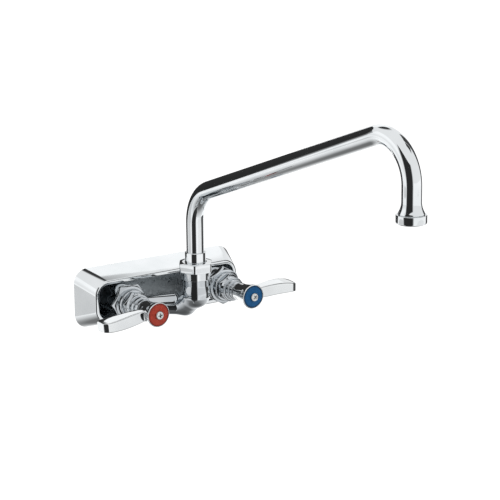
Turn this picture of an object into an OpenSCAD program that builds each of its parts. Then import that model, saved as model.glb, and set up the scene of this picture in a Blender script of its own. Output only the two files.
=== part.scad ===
// Wall-mounted two-handle faucet with a swivelling tube spout.
// The origin lies on the wall, midway between the two inlets.
// +X runs to the right along the wall, +Z is up, and the faucet stands out along -Y.
// Sizes are in millimetres. "Out" means the distance from the wall, along -Y.

/* [Inlets] */
// Distance between the hot and the cold inlet
inlet_centres = 101.6; // [96:0.2:110]
// Outside diameter of the threaded inlet shanks
shank_d = 21.3; // [19:0.1:22.5]
// Bore of the inlet shanks
shank_bore = 13; // [9:0.5:15]
// Outside diameter of the shanks' tails, which the supply lines screw on to
tail_d = 20.9; // [18.8:0.1:22.2]
// Length of those tails
tail_l = 11.8; // [9:0.1:30]
// Thickness of the wall or splashback that the faucet clamps
wall_t = 12; // [2:1:20]
// Width across flats of the lock nuts
lock_nut_af = 29.3; // [27:0.1:34]
// Thickness of the lock nuts
lock_nut_t = 7; // [5:0.5:10]
// Outside diameter of the washers under the lock nuts
lock_washer_d = 35.3; // [32:0.1:40]
// Thickness of those washers
lock_washer_t = 2; // [1:0.1:3]

/* [Cover] */
// Width of the cover at its open front
cover_w = 153; // [150:1:170]
// Height of the cover at its open front
cover_h = 39.2; // [38:0.2:44]
// Corner radius of the open front
cover_corner = 13.2; // [11:0.2:16]
// Depth of the cover, wall to front
cover_depth = 25.7; // [22:0.1:30]
// How far each side spreads on its way back to the wall
cover_flare = 8.4; // [6:0.2:11]
// Thickness of the pressed metal
cover_t = 1.5; // [1:0.1:2]
// Width of the lip turned in round the open front
cover_lip = 3.4; // [2.4:0.1:4]
// How far the cover hangs below the inlets in its clearance holes
cover_drop = 0.9; // [0:0.1:1.2]

/* [Body] */
// Distance of the spout's upright from the wall
riser_out = 73.4; // [68:0.2:84]
// Diameter of the two valve barrels
barrel_d = 29.6; // [28.6:0.2:30]
// Diameter of the round flange that clamps the cover to the wall
flange_d = 40; // [34:1:44]
// Thickness of that flange
flange_t = 2.6; // [2:0.2:4]
// Distance of the barrels' front faces from the wall
barrel_out = 38.5; // [36:0.2:42]
// Diameter of the two arms where they meet
arm_d = 20.5; // [18:0.5:22]
// Diameter of the arms where they leave the barrels
arm_root_d = 13.4; // [12.6:0.2:15]
// How far below the valves the arms meet
arm_drop = 6; // [3:0.5:7]
// How far below the valves the arms leave the barrels
arm_root_drop = 7.8; // [5:0.2:8]
// Where the arms leave the barrels, measured from the wall
arm_root_out = 20; // [18:0.2:22]
// How far behind the spout's upright the arms meet
arm_setback = 18.5; // [16:0.5:21]
// Bore of the waterways
waterway_d = 9; // [7:0.5:9.5]
// Diameter of the neck below the spout nut
neck_d = 22.9; // [22:0.1:26]
// Height of the neck's shoulder, where the spout nut's skirt ends
neck_top = 21.5; // [20:0.5:30]

/* [Spout] */
// Reach of the spout, upright to outlet
spout_reach = 304.8; // [150:0.1:360]
// Outside diameter of the spout tube
tube_d = 15.9; // [14:0.1:16.2]
// Wall of the spout tube
tube_t = 1.1; // [0.8:0.1:1.6]
// Rise of the spout's arm above level, in degrees
arm_rise = 19.7; // [10:0.1:26]
// Height at which the arm's line meets the upright's line
arm_height = 98.9; // [90:0.1:140]
// Centre-line radius of the lower bend
lower_bend_r = 35.7; // [30:0.1:42]
// Centre-line radius of the upper bend
upper_bend_r = 34.5; // [30:0.1:42]
// Height of the outlet above the inlets
outlet_z = 130.2; // [110:0.1:140]
// Diameter of the sleeve at the foot of the tube
sleeve_d = 18.9; // [18.6:0.1:20]
// Height of the sleeve's top
sleeve_top = 46.6; // [44:0.2:60]
// Width across flats of the spout nut
spout_nut_af = 28.6; // [27:0.1:30]
// Height of the hexagon on the spout nut
spout_nut_h = 8.9; // [6:0.1:11]
// Diameter of the spout nut's round skirt
skirt_d = 25.6; // [25.2:0.1:27]
// Height of that skirt
skirt_h = 7.2; // [6.6:0.1:9]
// Turn of the spout nut's flats, in degrees
spout_nut_turn = 54.8; // [0:0.1:60]

/* [Outlet] */
// Outside diameter of the aerator housing
aerator_d = 24.4; // [23.8:0.1:27]
// Height of the aerator housing
aerator_h = 7.4; // [6.6:0.1:10]
// Height of the tube's flare above the housing
flare_h = 9; // [6:0.5:12]
// Diameter of the flare where it meets the housing
flare_d = 21.4; // [20.6:0.1:22]
// Opening at the bottom of the housing
mouth_d = 17.6; // [15:0.2:18.4]

/* [Valves] */
// Width across flats of the bonnets
bonnet_af = 31.75; // [30:0.05:34]
// Thickness of the bonnets' hexagon
bonnet_h = 6; // [5:0.2:8]
// Diameter of the round shoulder in front of that hexagon
shoulder_d = 27; // [26:0.2:29]
// Length of the shoulder
shoulder_h = 4.6; // [3:0.2:6]
// Width across flats of the gland nuts
gland_af = 23; // [22.4:0.1:26]
// Thickness of the gland nuts' hexagon
gland_h = 5; // [4.6:0.1:6]
// Diameter of the gland nuts' nose, at its first step
nose_d = 22.4; // [22.2:0.1:24]
// Length of the nose with its three steps
nose_h = 13.4; // [12.6:0.2:14]
// Outside diameter of the ceramic cartridges
cartridge_d = 17.4; // [16:0.1:18]
// Thickness of each ceramic disc
disc_t = 3; // [2.4:0.1:3.4]
// Diameter of the spindles
spindle_d = 8; // [7:0.1:9]

/* [Handles] */
// Distance of the index discs' faces from the wall
index_out = 91.7; // [88:0.1:96]
// Diameter of the hot and cold index discs
index_d = 20.6; // [18:0.1:22]
// Diameter of the hub's rim round the index disc
hub_d = 22.4; // [22:0.1:26]
// Diameter of the hub at its back
hub_back_d = 16.6; // [15.6:0.1:18]
// Length of the hub
hub_h = 22.6; // [21:0.2:23]
// Length of a lever, valve axis to tip
lever_l = 55; // [48:0.5:66]
// Height of a lever's arched edge above the valve axis
lever_crown = 9.2; // [8:0.1:11]
// Distance of a lever's straight edge from the valve axis
lever_keel = 5.5; // [4:0.1:6]
// How far the hot lever's tip hangs below level, in degrees
hot_droop = 5; // [0:0.5:8]
// How far the cold lever's tip hangs below level, in degrees
cold_droop = 1; // [0:0.1:6]
// Diameter of the heads of the screws that hold the levers
screw_head_d = 7.6; // [6.4:0.1:9]

/* [Hidden] */

$fn = 96;
HOT = -1;
COLD = 1;
chrome = "#d9dcde";
brass = "#b99a5b";
rubber = "#2a2a2c";
ceramic = "#efeae0";
plastic = "#e9e9e4";

// Clearances: a static fit, a running fit, and between stacked faces
fit_gap = 0.12;
run_gap = 0.05;
seat_gap = 0.05;
// Overlap of pieces that are joined or cut, and the least step between two diameters that meet
eps = 0.01;
hair = 0.04;

// Derived sizes of the valves, as distances from the wall
bonnet_back = barrel_out + seat_gap;
bonnet_front = bonnet_back + bonnet_h;
shoulder_front = bonnet_front + shoulder_h;
gland_back = shoulder_front + seat_gap;
gland_front = gland_back + gland_h;
nose_front = gland_front + nose_h;
hub_front = index_out - 0.6;
hub_back = hub_front - hub_h;
bonnet_thread_d = 25;
bonnet_thread_l = 11;
gland_thread_d = cartridge_d + 2.6;
gland_thread_l = gland_h - 0.5;
chamber_d = bonnet_thread_d + 2 * fit_gap;
seat_out = 15;
seal_t = 2.2;
shell_back = seat_out + seal_t;
fixed_back = shell_back + 2 * seat_gap;
turning_back = fixed_back + disc_t + seat_gap;
foot_back = turning_back + disc_t + seat_gap;
foot_t = 3;
shell_wall = 1.4;
disc_d = cartridge_d - 2 * shell_wall - 2 * fit_gap;
shell_front = shoulder_front + gland_thread_l;
spindle_o_ring_t = 1.8;
spline_l = 8;
spindle_front = hub_front - 7;
screw_d = 4;

// Derived sizes of the inlets, as distances behind the wall
washer_back = wall_t + lock_washer_t;
lock_nut_back = washer_back + seat_gap + lock_nut_t;
tail_front = lock_nut_back + 0.15;
shank_back = tail_front + tail_l;

// Derived sizes of the body and the spout
cover_centre_z = -cover_drop;
corner_x = cover_w / 2 - cover_corner;
corner_z = cover_h / 2 - cover_corner;
slope = atan(cover_flare / cover_depth);
cover_skin = cover_t / cos(slope);
elbow_z = 7;
seam_lap = 0.6;
neck_thread_d = 22.2;
neck_thread_top = neck_top + 3.6;
stem_bore = 10.6;
stem_d = 15.8;
stem_foot = 6.5;
washer_t = 1;
stem_flange_t = skirt_h - 3.6 - washer_t - 4 * seat_gap;
stem_flange_d = neck_thread_d - 1;
stem_flange_z = neck_thread_top + washer_t + 2 * seat_gap;
nut_z = neck_top + seat_gap;
nut_web_z = nut_z + skirt_h;
nut_top = nut_web_z + spout_nut_h;
tube_foot = nut_top - 3;
lower_run = lower_bend_r * tan((90 - arm_rise) / 2);
upper_run = upper_bend_r * tan((90 + arm_rise) / 2);
arm_l = spout_reach / cos(arm_rise) - lower_run - upper_run;
arm_end_z = arm_height + spout_reach * tan(arm_rise);
flare_z = outlet_z + aerator_h;
thread_end_z = outlet_z + 2.6;
outlet_out = riser_out + spout_reach;
o_ring_t = 2.4;

// ---- helpers ----

// Stands children, drawn with +Z as "out" and +Y as up, on a valve's axis
module at_valve(side) {
    translate([side * inlet_centres / 2, 0, 0]) rotate([90, 0, 0]) children();
}

// Stands children on the spout's swivel axis
module at_riser() {
    translate([0, -riser_out, 0]) children();
}

module ring(z0, z1, outer_d, inner_d) {
    difference() {
        translate([0, 0, z0]) cylinder(d = outer_d, h = z1 - z0);
        translate([0, 0, z0 - 1]) cylinder(d = inner_d, h = z1 - z0 + 2);
    }
}

// A solid of revolution about Z, from points [radius, height]
module turned(points) {
    rotate_extrude() polygon(points);
}

// A hexagon, corners up, whose corners are chamfered by back_cut and front_cut along its length
module hexagon(z0, z1, across_flats, back_cut, front_cut) {
    corner_r = across_flats / sqrt(3);
    flat_r = across_flats / 2 - 0.2;
    intersection() {
        translate([0, 0, z0]) rotate([0, 0, 90]) cylinder(r = corner_r, h = z1 - z0, $fn = 6);
        turned([[0, z0], [flat_r, z0], [corner_r + 0.1, z0 + back_cut],
            [corner_r + 0.1, z1 - front_cut], [flat_r, z1], [0, z1]]);
    }
}

// ---- cover ----

// A tapered round-cornered block: grow is added all round, z is the distance out of the wall
module cover_block(grow, z0, z1) {
    r0 = cover_corner + grow + cover_flare * (1 - z0 / cover_depth);
    r1 = cover_corner + grow + cover_flare * (1 - z1 / cover_depth);
    for (sx = [-1, 1], sz = [-1, 1])
        translate([sx * corner_x, sz * corner_z, z0]) cylinder(r1 = r0, r2 = r1, h = z1 - z0);
    translate([-corner_x, 0, 0]) rotate([90, 0, 90]) linear_extrude(2 * corner_x)
        polygon([[-corner_z - r0, z0], [corner_z + r0, z0], [corner_z + r1, z1], [-corner_z - r1, z1]]);
    translate([0, corner_z, 0]) rotate([90, 0, 0]) linear_extrude(2 * corner_z)
        polygon([[-corner_x - r0, z0], [corner_x + r0, z0], [corner_x + r1, z1], [-corner_x - r1, z1]]);
}

// The straight opening inside the lip
module cover_mouth() {
    mouth_r = cover_corner - cover_lip;
    z0 = cover_depth - cover_t - 1;
    for (sx = [-1, 1], sz = [-1, 1])
        translate([sx * corner_x, sz * corner_z, z0]) cylinder(r = mouth_r, h = 4);
    translate([-corner_x, -corner_z - mouth_r, z0]) cube([2 * corner_x, 2 * (corner_z + mouth_r), 4]);
    translate([-corner_x - mouth_r, -corner_z, z0]) cube([2 * (corner_x + mouth_r), 2 * corner_z, 4]);
}

module wall_cover() {
    color(chrome) difference() {
        translate([0, 0, cover_centre_z]) rotate([90, 0, 0]) difference() {
            cover_block(0, 0, cover_depth);
            cover_block(-cover_skin, cover_t, cover_depth - cover_t);
            cover_mouth();
        }
        for (side = [HOT, COLD])
            at_valve(side) translate([0, 0, -1]) cylinder(d = shank_d + 2.6, h = cover_t + 2);
    }
}

// ---- body ----

// A round bar between two points, with its diameter at each end
module bar(from, to, from_d, to_d) {
    run = to - from;
    flat = norm([run[0], run[1]]);
    translate(from) rotate([0, atan2(flat, run[2]), atan2(run[1], run[0])])
        cylinder(d1 = from_d, d2 = to_d, h = norm(run));
}

// The two arms that meet behind the upright, and the elbow from there to the neck.
// The ball at each joint is a hair thicker than the bars that it joins.
module branches(root_d, meet_d, elbow_d) {
    meet = [0, -riser_out + arm_setback, -arm_drop];
    bend = [0, -riser_out, elbow_z];
    for (side = [HOT, COLD]) {
        root = [side * inlet_centres / 2, -arm_root_out, -arm_root_drop];
        bar(root, meet, root_d, meet_d);
        translate(root) sphere(d = root_d + hair);
    }
    translate(meet) sphere(d = elbow_d + hair);
    bar(meet, bend, elbow_d, elbow_d);
    translate(bend) sphere(d = elbow_d + hair);
}

module body_solid() {
    for (side = [HOT, COLD])
        at_valve(side) turned([[0, cover_t + seat_gap], [flange_d / 2, cover_t + seat_gap],
            [flange_d / 2, cover_t + flange_t], [barrel_d / 2, cover_t + flange_t + 6],
            [barrel_d / 2, barrel_out - 1], [barrel_d / 2 - 1, barrel_out], [0, barrel_out]]);
    branches(arm_root_d, arm_d, arm_d + 1.2);
    at_riser() turned([[0, elbow_z], [neck_d / 2 + 0.8, elbow_z], [neck_d / 2, elbow_z + 5],
        [neck_d / 2, neck_top], [neck_thread_d / 2, neck_top], [neck_thread_d / 2, neck_thread_top],
        [0, neck_thread_top]]);
    at_riser() translate([0, 0, elbow_z]) sphere(d = neck_d + 1.6);
}

module faucet_body() {
    color(chrome) difference() {
        body_solid();
        for (side = [HOT, COLD]) at_valve(side) {
            translate([0, 0, seat_out]) cylinder(d = chamber_d, h = barrel_out);
            translate([0, 0, -1]) cylinder(d = shank_bore, h = barrel_out);
            translate([0, 0, -1]) cylinder(d = shank_d + 2 * fit_gap, h = seat_out - 3);
            translate([0, 0, barrel_out]) cylinder(r = bonnet_af / sqrt(3) + 0.4, h = arm_d);
        }
        branches(waterway_d, waterway_d, waterway_d);
        at_riser() {
            translate([0, 0, elbow_z]) cylinder(d = waterway_d, h = neck_top);
            translate([0, 0, stem_foot - 1.5]) cylinder(d = stem_d + 2 * run_gap, h = neck_thread_top);
        }
    }
}

module inlet_shanks() {
    color(brass) for (side = [HOT, COLD]) at_valve(side) {
        ring(-tail_front, seat_out - 4 - seat_gap, shank_d, shank_bore);
        ring(-shank_back, -tail_front + eps, tail_d, shank_bore);
    }
}

module lock_washers() {
    color("#9a9da0") for (side = [HOT, COLD])
        at_valve(side) ring(-washer_back, -wall_t, lock_washer_d, shank_d + 0.8);
}

module lock_nuts() {
    color(brass) for (side = [HOT, COLD])
        at_valve(side) difference() {
            hexagon(-lock_nut_back, -washer_back - seat_gap, lock_nut_af, 1.2, 1.2);
            translate([0, 0, -shank_back]) cylinder(d = shank_d + 2 * fit_gap, h = shank_back);
        }
}

// ---- valves ----

module bonnet(side) {
    turn = side == HOT ? 30 : 0;
    color(chrome) at_valve(side) difference() {
        union() {
            translate([0, 0, bonnet_back - bonnet_thread_l]) cylinder(d = bonnet_thread_d, h = bonnet_thread_l + 1);
            rotate([0, 0, turn]) hexagon(bonnet_back, bonnet_front, bonnet_af, 0.8, 3.6);
            turned([[0, bonnet_front - 1], [shoulder_d / 2, bonnet_front - 1], [shoulder_d / 2, shoulder_front - 0.8],
                [shoulder_d / 2 - 0.8, shoulder_front], [0, shoulder_front]]);
            translate([0, 0, shoulder_front - 1]) cylinder(d = gland_thread_d, h = gland_thread_l + 1);
        }
        cylinder(d = cartridge_d + 2 * fit_gap, h = shoulder_front + 20);
    }
}

module gland_nut(side) {
    turn = side == HOT ? 18 : 0;
    step = nose_h / 3;
    color(chrome) at_valve(side) difference() {
        union() {
            rotate([0, 0, turn]) hexagon(gland_back, gland_front, gland_af, 1, 1.6);
            turned([[0, gland_front - 1], [nose_d / 2, gland_front - 1], [nose_d / 2, gland_front + step - 0.8],
                [nose_d / 2 - 0.8, gland_front + step], [nose_d / 2 - 1.6, gland_front + step],
                [nose_d / 2 - 1.6, gland_front + 2 * step - 0.7], [nose_d / 2 - 2.3, gland_front + 2 * step],
                [nose_d / 2 - 2.9, gland_front + 2 * step], [nose_d / 2 - 2.9, nose_front - 0.7],
                [nose_d / 2 - 3.6, nose_front], [0, nose_front]]);
        }
        translate([0, 0, gland_back - 1]) cylinder(d = gland_thread_d + 2 * fit_gap, h = gland_thread_l + 1);
        translate([0, 0, gland_back]) cylinder(d = spindle_d + 6 + 2 * fit_gap, h = 40);
    }
}

// Shell with a foot that holds the discs, two side windows and a long neck round the spindle
module cartridge_shell(side) {
    neck = spindle_d + 6;
    color(brass) at_valve(side) difference() {
        union() {
            translate([0, 0, shell_back]) cylinder(d = cartridge_d, h = shell_front - shell_back - seat_gap);
            translate([0, 0, shell_front - 1]) cylinder(d = neck, h = nose_front + 0.2 - shell_front + 1);
        }
        translate([0, 0, shell_back - 1])
            cylinder(d = disc_d + 2 * run_gap, h = foot_back + foot_t + seat_gap - shell_back + 1);
        cylinder(d = spindle_d + 2 * run_gap, h = nose_front + 10);
        translate([0, 0, nose_front - 3]) cylinder(d = spindle_d + 2 * spindle_o_ring_t, h = spindle_o_ring_t);
        for (a = [0, 180]) rotate([0, 0, a])
            translate([0, -4, turning_back]) cube([cartridge_d, 8, disc_t + 1]);
    }
}

module seat_seal(side) {
    color(rubber) at_valve(side) ring(seat_out + seat_gap, shell_back - seat_gap, cartridge_d, shank_bore - 2);
}

// A ceramic disc with two quarter openings; slot is the depth of the drive groove on its front
module ceramic_disc(z0, turn, slot) {
    difference() {
        translate([0, 0, z0]) cylinder(d = disc_d, h = disc_t);
        for (a = [0, 180]) rotate([0, 0, a + turn]) intersection() {
            translate([0, 0, z0 - 1]) cylinder(d = disc_d - 3, h = disc_t + 2);
            translate([1.2, 1.2, z0 - 1]) cube([disc_d, disc_d, disc_t + 2]);
        }
        if (slot > 0) rotate([0, 0, turn - 45])
            translate([-disc_d, -1.5, z0 + disc_t - slot]) cube([2 * disc_d, 3, slot + 1]);
    }
}

module fixed_disc(side) {
    color(ceramic) at_valve(side) ceramic_disc(fixed_back, 0, 0);
}

module turning_disc(side) {
    color(ceramic) at_valve(side) ceramic_disc(turning_back, 90, 1.2);
}

module spindle(side) {
    color(brass) at_valve(side) difference() {
        union() {
            translate([0, 0, foot_back]) cylinder(d = disc_d, h = foot_t - seat_gap);
            rotate([0, 0, 45]) translate([-disc_d / 2 + 1, -1.3, foot_back - 1]) cube([disc_d - 2, 2.6, 2]);
            translate([0, 0, foot_back + 1]) cylinder(d = spindle_d, h = spindle_front - foot_back - 1);
        }
        translate([0, 0, spindle_front - 12]) cylinder(d = screw_d - 0.7, h = 20);
    }
}

module spindle_o_ring(side) {
    r = spindle_o_ring_t / 2 - run_gap;
    color(rubber) at_valve(side) translate([0, 0, nose_front - 3 + spindle_o_ring_t / 2])
        rotate_extrude() translate([spindle_d / 2 + spindle_o_ring_t / 2 + run_gap / 2, 0]) circle(r = r);
}

// O-rings between the bonnets and the barrels
module bonnet_o_rings() {
    color(rubber) for (side = [HOT, COLD]) at_valve(side)
        ring(bonnet_back - bonnet_thread_l - 2.2, bonnet_back - bonnet_thread_l - seat_gap,
            bonnet_thread_d - 0.4, cartridge_d + 0.6);
}

// ---- handles ----

// A thin slice of the lever: a low ridge on its front, the arched edge at +Y, the straight one at -Y
module lever_slice(x, crown, keel, ridge_out, back_out, edge_out) {
    translate([x, 0, 0]) rotate([90, 0, 90]) linear_extrude(0.4)
        polygon([[-keel + 1, back_out], [crown - 1, back_out], [crown - 0.2, back_out + 0.8], [crown, edge_out - 0.6],
            [crown - 0.4, edge_out + 0.5], [crown - 1.4, edge_out + 1.2], [0.4, ridge_out], [-0.8, ridge_out - 0.1],
            [-keel + 1, edge_out + 0.9], [-keel + 0.1, edge_out], [-keel, back_out + 1]]);
}

module lever_blade() {
    back = index_out - 16.6;
    // Stations: share of the length, shares of crown and keel, then the heights of the ridge, of the
    // back and of the edges above the back plane
    stations = [
        [0.14, 0.60, 0.95, 8.8, 0.8, 6.6],
        [0.36, 0.83, 1.02, 8.4, 0.3, 5.9],
        [0.54, 0.98, 0.98, 7.8, 0, 4.6],
        [0.69, 1.00, 0.95, 7.2, 0, 3.2],
        [0.84, 0.88, 0.92, 6.6, 0, 2.6],
        [0.94, 0.66, 0.89, 6.1, 0.2, 2.8],
        [0.993, 0.42, 0.74, 5.2, 0.7, 3.3]
    ];
    for (i = [0 : len(stations) - 2]) hull() for (s = [stations[i], stations[i + 1]])
        lever_slice(s[0] * lever_l, s[1] * lever_crown, s[2] * lever_keel,
            back + s[3], back + s[4], back + s[5]);
}

module lever(side) {
    turn = side == COLD ? -cold_droop : 180 + hot_droop;
    color(chrome) at_valve(side) rotate([0, 0, turn]) difference() {
        union() {
            turned([[0, hub_back], [hub_back_d / 2 - 1, hub_back], [hub_back_d / 2, hub_back + 1],
                [hub_back_d / 2 + 0.4, hub_back + 0.35 * hub_h], [hub_back_d / 2 + 1.3, hub_back + 0.65 * hub_h],
                [hub_d / 2 - 0.2, hub_front - 2], [hub_d / 2, hub_front - 1], [hub_d / 2 - 0.3, hub_front],
                [0, hub_front]]);
            lever_blade();
        }
        translate([0, 0, hub_back - 1]) cylinder(d = spindle_d + 2 * fit_gap, h = spindle_front + fit_gap - hub_back + 1);
        cylinder(d = screw_d + 2 * fit_gap, h = index_out);
        translate([0, 0, hub_front - 2]) cylinder(d = index_d + 2 * fit_gap, h = 4);
    }
}

module index_disc(side) {
    color(side == HOT ? "#c83c22" : "#004b96") at_valve(side) difference() {
        turned([[0, hub_front - 2 + seat_gap], [index_d / 2, hub_front - 2 + seat_gap], [index_d / 2, hub_front - 0.4],
            [index_d / 2 - 0.5, hub_front], [screw_head_d / 2 + 0.3, index_out], [0, index_out]]);
        translate([0, 0, hub_front - 4]) cylinder(d = screw_d + 2 * fit_gap, h = 10);
    }
}

module screw(side) {
    color("silver") at_valve(side) difference() {
        union() {
            translate([0, 0, spindle_front - 9]) cylinder(d = screw_d - 0.9, h = 10);
            translate([0, 0, spindle_front + seat_gap]) cylinder(d = screw_d, h = index_out - spindle_front + 0.5);
            turned([[0, index_out + seat_gap], [screw_head_d / 2, index_out + seat_gap],
                [screw_head_d / 2, index_out + 1.1], [screw_head_d / 2 - 0.8, index_out + 1.9],
                [0, index_out + 2.3]]);
        }
        for (a = [45, 135]) rotate([0, 0, a])
            translate([-0.28 * screw_head_d, -0.55, index_out + 1]) cube([0.56 * screw_head_d, 1.1, 2]);
    }
}

// ---- spout ----

module spout_nut() {
    color(chrome) at_riser() rotate([0, 0, spout_nut_turn]) difference() {
        union() {
            translate([0, 0, nut_z]) cylinder(d = skirt_d, h = skirt_h + 1);
            rotate([0, 0, -90]) hexagon(nut_web_z, nut_top, spout_nut_af, 0.7, 0.9);
        }
        translate([0, 0, nut_z - 1]) cylinder(d = neck_thread_d + 2 * fit_gap, h = skirt_h + 1);
        translate([0, 0, nut_z]) cylinder(d = sleeve_d + 0.6, h = nut_top);
    }
}

module swivel_washer() {
    color(plastic) at_riser() ring(neck_thread_top + seat_gap, neck_thread_top + seat_gap + washer_t,
        stem_flange_d, stem_d + 0.3);
}

module spout_stem() {
    color(chrome) at_riser() difference() {
        turned([[0, stem_foot], [stem_d / 2 - 0.6, stem_foot], [stem_d / 2, stem_foot + 0.6],
            [stem_d / 2, stem_flange_z], [stem_flange_d / 2, stem_flange_z],
            [stem_flange_d / 2, stem_flange_z + stem_flange_t], [sleeve_d / 2, stem_flange_z + stem_flange_t],
            [sleeve_d / 2, sleeve_top - 0.5], [sleeve_d / 2 - 0.5, sleeve_top], [0, sleeve_top]]);
        translate([0, 0, 0]) cylinder(d = stem_bore, h = sleeve_top + 1);
        translate([0, 0, tube_foot]) cylinder(d = tube_d + 2 * fit_gap, h = sleeve_top);
        for (z = [stem_foot + 3, stem_foot + 9.5])
            ring(z, z + o_ring_t + 0.2, stem_d + 2, stem_d - 2 * o_ring_t + 0.6);
    }
}

module spout_o_rings() {
    ring_r = o_ring_t / 2 - 0.15;
    color(rubber) at_riser() for (z = [stem_foot + 3, stem_foot + 9.5])
        translate([0, 0, z + o_ring_t / 2 + 0.1]) rotate_extrude()
            translate([stem_d / 2 + run_gap / 2 - ring_r, 0]) circle(r = ring_r);
}

// The spout's centre line as a rod, from the foot of its upright to the outlet's end: d is its
// diameter in the bends, and step is how much thinner the straight runs are, which reach a little
// way into the bends. Each run is turned so that its seam line meets the bends' own.
module spout_rod(d, step, foot, end) {
    upper_z = arm_end_z - upper_run;
    run_d = d - step;
    at_riser() {
        translate([0, 0, foot]) rotate([0, 0, 90])
            cylinder(d = run_d, h = arm_height - lower_run - foot + seam_lap);
        translate([0, -lower_bend_r, arm_height - lower_run]) rotate([90, 0, 90])
            rotate_extrude(angle = 90 - arm_rise) translate([lower_bend_r, 0]) circle(d = d);
        translate([0, 0, arm_height]) rotate([90 - arm_rise, 0, 0])
            translate([0, 0, lower_run - seam_lap]) rotate([0, 0, 90])
                cylinder(d = run_d, h = arm_l + 2 * seam_lap);
    }
    translate([0, -outlet_out, 0]) {
        translate([0, upper_bend_r, upper_z]) rotate([90, 0, -90])
            rotate_extrude(angle = 90 + arm_rise) translate([upper_bend_r, 0]) circle(d = d);
        translate([0, 0, end]) rotate([0, 0, -90]) cylinder(d = run_d, h = upper_z - end + seam_lap);
    }
}

module spout_tube() {
    lip_r = flare_d / 2 - 0.9;
    color(chrome) difference() {
        union() {
            spout_rod(tube_d, hair, tube_foot + seat_gap, flare_z);
            translate([0, -outlet_out, 0]) turned([[0, thread_end_z], [lip_r, thread_end_z],
                [lip_r, flare_z + seat_gap], [flare_d / 2, flare_z + seat_gap],
                [flare_d / 2 - 0.2, flare_z + 0.12 * flare_h], [tube_d / 2 + 1.2, flare_z + 0.42 * flare_h],
                [tube_d / 2 + 0.4, flare_z + 0.7 * flare_h], [tube_d / 2 + 0.02, flare_z + flare_h],
                [0, flare_z + flare_h]]);
        }
        spout_rod(tube_d - 2 * tube_t, 0.3, tube_foot - 1, thread_end_z - 1);
    }
}

module aerator_washer() {
    color(rubber) translate([0, -outlet_out, 0]) ring(thread_end_z - 1.2, thread_end_z - seat_gap,
        flare_d - 2.2, tube_d - 2 * tube_t - 1);
}

module aerator_insert() {
    d = flare_d - 2.2;
    color(plastic) translate([0, -outlet_out, 0]) difference() {
        translate([0, 0, outlet_z + 0.9]) cylinder(d = mouth_d - 0.4, h = thread_end_z - outlet_z - 0.9 - 1.3);
        for (ring_r = [2.6, 5.4], k = [0 : ring_r > 3 ? 11 : 5]) rotate([0, 0, k * (ring_r > 3 ? 30 : 60)])
            translate([ring_r, 0, outlet_z]) cylinder(d = 1.5, h = 4);
    }
}

module aerator_screen() {
    color("#8d9194") translate([0, -outlet_out, 0]) difference() {
        translate([0, 0, outlet_z + 0.35]) cylinder(d = mouth_d - 0.6, h = 0.5);
        for (x = [-7 : 2 : 7], y = [-7 : 2 : 7]) if (norm([x, y]) < mouth_d / 2 - 1.4)
            translate([x - 0.7, y - 0.7, outlet_z]) cube([1.4, 1.4, 2]);
    }
}

module aerator_housing() {
    round_r = 2.6;
    color(chrome) translate([0, -outlet_out, 0]) difference() {
        union() {
            translate([0, 0, outlet_z + round_r]) cylinder(d = aerator_d, h = aerator_h - round_r - 0.5);
            turned([[0, flare_z - 0.5 - eps], [aerator_d / 2, flare_z - 0.5 - eps], [aerator_d / 2 - 0.5, flare_z], [0, flare_z]]);
            rotate_extrude() translate([aerator_d / 2 - round_r, outlet_z + round_r]) circle(r = round_r);
            translate([0, 0, outlet_z]) cylinder(d = aerator_d - 2 * round_r, h = aerator_h);
        }
        translate([0, 0, outlet_z + 1.2]) cylinder(d = flare_d - 1.8 + 2 * fit_gap, h = aerator_h);
        translate([0, 0, outlet_z - 1]) cylinder(d = mouth_d, h = 4);
    }
}

// ---- nodes ----

wall_cover();
faucet_body();
inlet_shanks();
lock_washers();
lock_nuts();
bonnet(HOT);  // hot_bonnet
bonnet(COLD);  // cold_bonnet
gland_nut(HOT);  // hot_gland_nut
gland_nut(COLD);  // cold_gland_nut
cartridge_shell(HOT);  // hot_cartridge_shell
cartridge_shell(COLD);  // cold_cartridge_shell
seat_seal(HOT);  // hot_seat_seal
seat_seal(COLD);  // cold_seat_seal
fixed_disc(HOT);  // hot_fixed_disc
fixed_disc(COLD);  // cold_fixed_disc
bonnet_o_rings();
turning_disc(HOT);  // hot_turning_disc
spindle(HOT);  // hot_spindle
spindle_o_ring(HOT);  // hot_spindle_o_ring
lever(HOT);  // hot_lever
index_disc(HOT);  // hot_index
screw(HOT);  // hot_screw
turning_disc(COLD);  // cold_turning_disc
spindle(COLD);  // cold_spindle
spindle_o_ring(COLD);  // cold_spindle_o_ring
lever(COLD);  // cold_lever
index_disc(COLD);  // cold_index
screw(COLD);  // cold_screw
spout_nut();
swivel_washer();
spout_stem();
spout_o_rings();
spout_tube();
aerator_washer();
aerator_insert();
aerator_screen();
aerator_housing();
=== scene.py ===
import math

import bmesh
import bpy
import numpy as np
from mathutils import Matrix, Vector


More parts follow.
